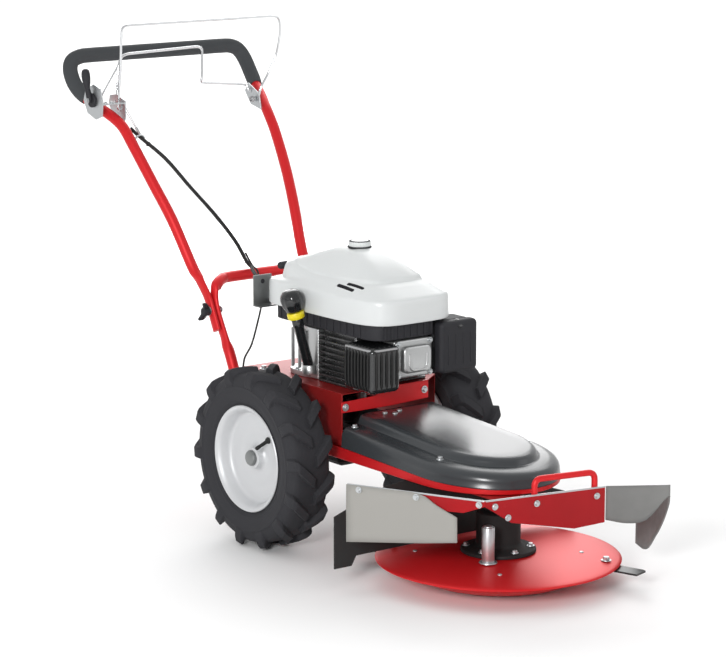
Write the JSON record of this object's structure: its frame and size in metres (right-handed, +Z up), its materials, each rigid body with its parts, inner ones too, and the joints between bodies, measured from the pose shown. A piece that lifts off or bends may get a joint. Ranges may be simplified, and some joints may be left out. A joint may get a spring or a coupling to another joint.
{
  "type": "brush mower",
  "caption": "Walk-behind brush mower with lugged tyres, vertical-shaft engine, covered belt drive, disc cutter behind a bent guard, and a loop handle with wire bails.",
  "frame": {"origin": "on the ground, under the middle of the machine's box", "axes": "-Y is forwards (the cutter end), +Y is towards the handle, +X is the machine's left, +Z is up"},
  "size_m": [0.67, 1.61, 1.0999],
  "materials": {
    "red_paint": "gloss red enamel",
    "dark_red_paint": "dark red enamel",
    "silver_plastic": "silver moulded cowl",
    "black_plastic": "black moulding",
    "cover_plastic": "glossy dark grey cover",
    "tyre_rubber": "black tyre rubber",
    "foam": "matt foam sleeve",
    "grey_rubber": "grey rubber sheet",
    "black_rubber": "black rubber",
    "zinc": "zinc plated",
    "chrome_wire": "bright spring wire",
    "aluminium": "die-cast",
    "wheel_silver": "silver paint",
    "steel": "bare steel",
    "blade_steel": "blackened steel",
    "cast_iron": "black cast iron",
    "grey_steel": "grey steel"
  },
  "bodies": {
    "chassis": {"chassis_frame": "dark_red_paint", "front_bracket": "red_paint", "belt_tray": "red_paint", "belt_cover": "cover_plastic", "spindle_housing": "cast_iron", "gearbox": "cast_iron", "guard_plate": "red_paint", "guard_arm": "dark_red_paint", "guard_handle": "red_paint", "flap_right": "grey_rubber", "flap_left": "grey_rubber", "apron_rear": "black_rubber", "crankcase": "aluminium", "cylinder_block": "black_plastic", "valve_cover": "aluminium", "muffler": "black_plastic", "air_cleaner": "black_plastic", "blower_housing": "black_plastic", "top_cover": "silver_plastic", "dipstick_tube": "black_plastic", "cable_bracket": "grey_steel", "lower_handle": "red_paint", "cutter_belt": "black_rubber", "drive_belt": "black_rubber", "cable_loom": "black_rubber", "drive_cable": "black_rubber"},
    "crank": {"crankshaft": "steel", "engine_pulley": "cast_iron", "flywheel": "cast_iron"},
    "drive_pulley": {"gearbox_pulley": "cast_iron"},
    "rotor": {"spindle_shaft": "steel", "spindle_pulley": "cast_iron", "drum": "cast_iron", "cutter_disc": "red_paint", "rotor_post_front": "zinc", "rotor_post_rear": "zinc", "blade_bolt_a": "steel", "blade_bolt_b": "steel"},
    "swing_blade_a": {"blade_a": "blade_steel"},
    "swing_blade_b": {"blade_b": "blade_steel"},
    "dish": {"glide_dish": "red_paint"},
    "clutch_arm": {"idler_arm": "steel"},
    "clutch_roller": {"idler_pulley": "steel"},
    "axle_shaft": {"axle": "steel"},
    "wheel_right": {"tyre_right": "tyre_rubber", "rim_right": "wheel_silver"},
    "wheel_left": {"tyre_left": "tyre_rubber", "rim_left": "wheel_silver"},
    "handle": {"upper_handle": "red_paint", "grip": "foam", "control_bracket": "zinc", "bail_bracket": "zinc"},
    "cutter_clutch_bail": {"cutter_bail": "chrome_wire"},
    "drive_clutch_bail": {"drive_bail": "chrome_wire"},
    "throttle": {"throttle_lever": "black_plastic"},
    "knob_right": {"clamp_knob_right": "black_plastic"},
    "knob_left": {"clamp_knob_left": "black_plastic"},
    "filler_cap": {"fuel_cap": "silver_plastic"},
    "oil_dipstick": {"dipstick_cap": "black_plastic"},
    "starter_grip": {"recoil_grip": "black_plastic"}
  },
  "joints": [
    {"name": "handle_fold", "type": "hinge", "parent": "chassis", "child": "handle", "pos_m": [0, 0.3436, 0.467], "axis": [1, 0, 0], "range_deg": [-20, 100], "deforming": ["cable_loom"]},
    {"name": "knob_right_turn", "type": "hinge", "parent": "handle", "child": "knob_right", "pos_m": [-0.1745, 0.3436, 0.467], "axis": [1, 0, 0], "range_deg": [0, 180]},
    {"name": "knob_left_turn", "type": "hinge", "parent": "handle", "child": "knob_left", "pos_m": [0.1745, 0.3436, 0.467], "axis": [1, 0, 0], "range_deg": [0, 180]},
    {"name": "cutter_bail_pull", "type": "hinge", "parent": "handle", "child": "cutter_clutch_bail", "pos_m": [0, 0.6516, 0.898], "axis": [-1, 0, 0], "range_deg": [0, 50], "stiffness_Nm_per_rad": 0.8, "springref_deg": -28.65},
    {"name": "drive_bail_pull", "type": "hinge", "parent": "handle", "child": "drive_clutch_bail", "pos_m": [0, 0.6716, 0.917], "axis": [-1, 0, 0], "range_deg": [0, 40], "stiffness_Nm_per_rad": 0.8, "springref_deg": -22.92},
    {"name": "throttle_swing", "type": "hinge", "parent": "handle", "child": "throttle", "pos_m": [-0.265, 0.6616, 0.925], "axis": [1, 0, 0], "range_deg": [-40, 40]},
    {"name": "clutch_arm_swing", "type": "hinge", "parent": "chassis", "child": "clutch_arm", "pos_m": [-0.115, -0.2034, 0.26], "axis": [0, 0, 1], "range_deg": [0, 8]},
    {"name": "clutch_roller_spin", "type": "hinge", "parent": "clutch_arm", "child": "clutch_roller", "pos_m": [-0.0885, -0.2534, 0.25], "axis": [0, 0, 1], "continuous": true},
    {"name": "rotor_spin", "type": "hinge", "parent": "chassis", "child": "rotor", "pos_m": [0, -0.4862, 0.15], "axis": [0, 0, 1], "continuous": true},
    {"name": "crank_spin", "type": "hinge", "parent": "chassis", "child": "crank", "pos_m": [0, -0.0134, 0.3], "axis": [0, 0, 1], "continuous": true},
    {"name": "drive_pulley_spin", "type": "hinge", "parent": "chassis", "child": "drive_pulley", "pos_m": [0, 0.1166, 0.28], "axis": [0, 0, 1], "continuous": true},
    {"name": "blade_a_swing", "type": "hinge", "parent": "rotor", "child": "swing_blade_a", "pos_m": [0.14097, -0.66794, 0.0415], "axis": [0, 0, 1], "range_deg": [-120, 120]},
    {"name": "blade_b_swing", "type": "hinge", "parent": "rotor", "child": "swing_blade_b", "pos_m": [-0.14097, -0.30446, 0.0415], "axis": [0, 0, 1], "range_deg": [-120, 120]},
    {"name": "glide_dish_spin", "type": "hinge", "parent": "rotor", "child": "dish", "pos_m": [0, -0.4862, 0.02], "axis": [0, 0, 1], "continuous": true},
    {"name": "axle_spin", "type": "hinge", "parent": "chassis", "child": "axle_shaft", "pos_m": [0, 0.0316, 0.2], "axis": [1, 0, 0], "continuous": true},
    {"name": "wheel_right_spin", "type": "hinge", "parent": "axle_shaft", "child": "wheel_right", "pos_m": [-0.2364, 0.0316, 0.2], "axis": [1, 0, 0], "continuous": true},
    {"name": "wheel_left_spin", "type": "hinge", "parent": "axle_shaft", "child": "wheel_left", "pos_m": [0.2364, 0.0316, 0.2], "axis": [1, 0, 0], "continuous": true},
    {"name": "fuel_cap_turn", "type": "hinge", "parent": "chassis", "child": "filler_cap", "pos_m": [0, -0.0084, 0.64], "axis": [0, 0, 1], "range_deg": [0, 90]},
    {"name": "dipstick_turn", "type": "hinge", "parent": "chassis", "child": "oil_dipstick", "pos_m": [-0.14157, 0.03406, 0.49528], "axis": [-0.2443, 0.0538, 0.9682], "range_deg": [0, 90]},
    {"name": "starter_pull", "type": "slide", "parent": "chassis", "child": "starter_grip", "axis": [0, 0.9438, 0.3305], "range_m": [0, 0.15], "stiffness_N_per_m": 40, "springref_m": -0.2}
  ],
  "couplings": [
    {"joint": "crank_spin", "follows": "rotor_spin", "ratio": 1.6667},
    {"joint": "drive_pulley_spin", "follows": "rotor_spin", "ratio": 0.8},
    {"joint": "clutch_arm_swing", "follows": "cutter_bail_pull", "ratio": 0.16}
  ]
}
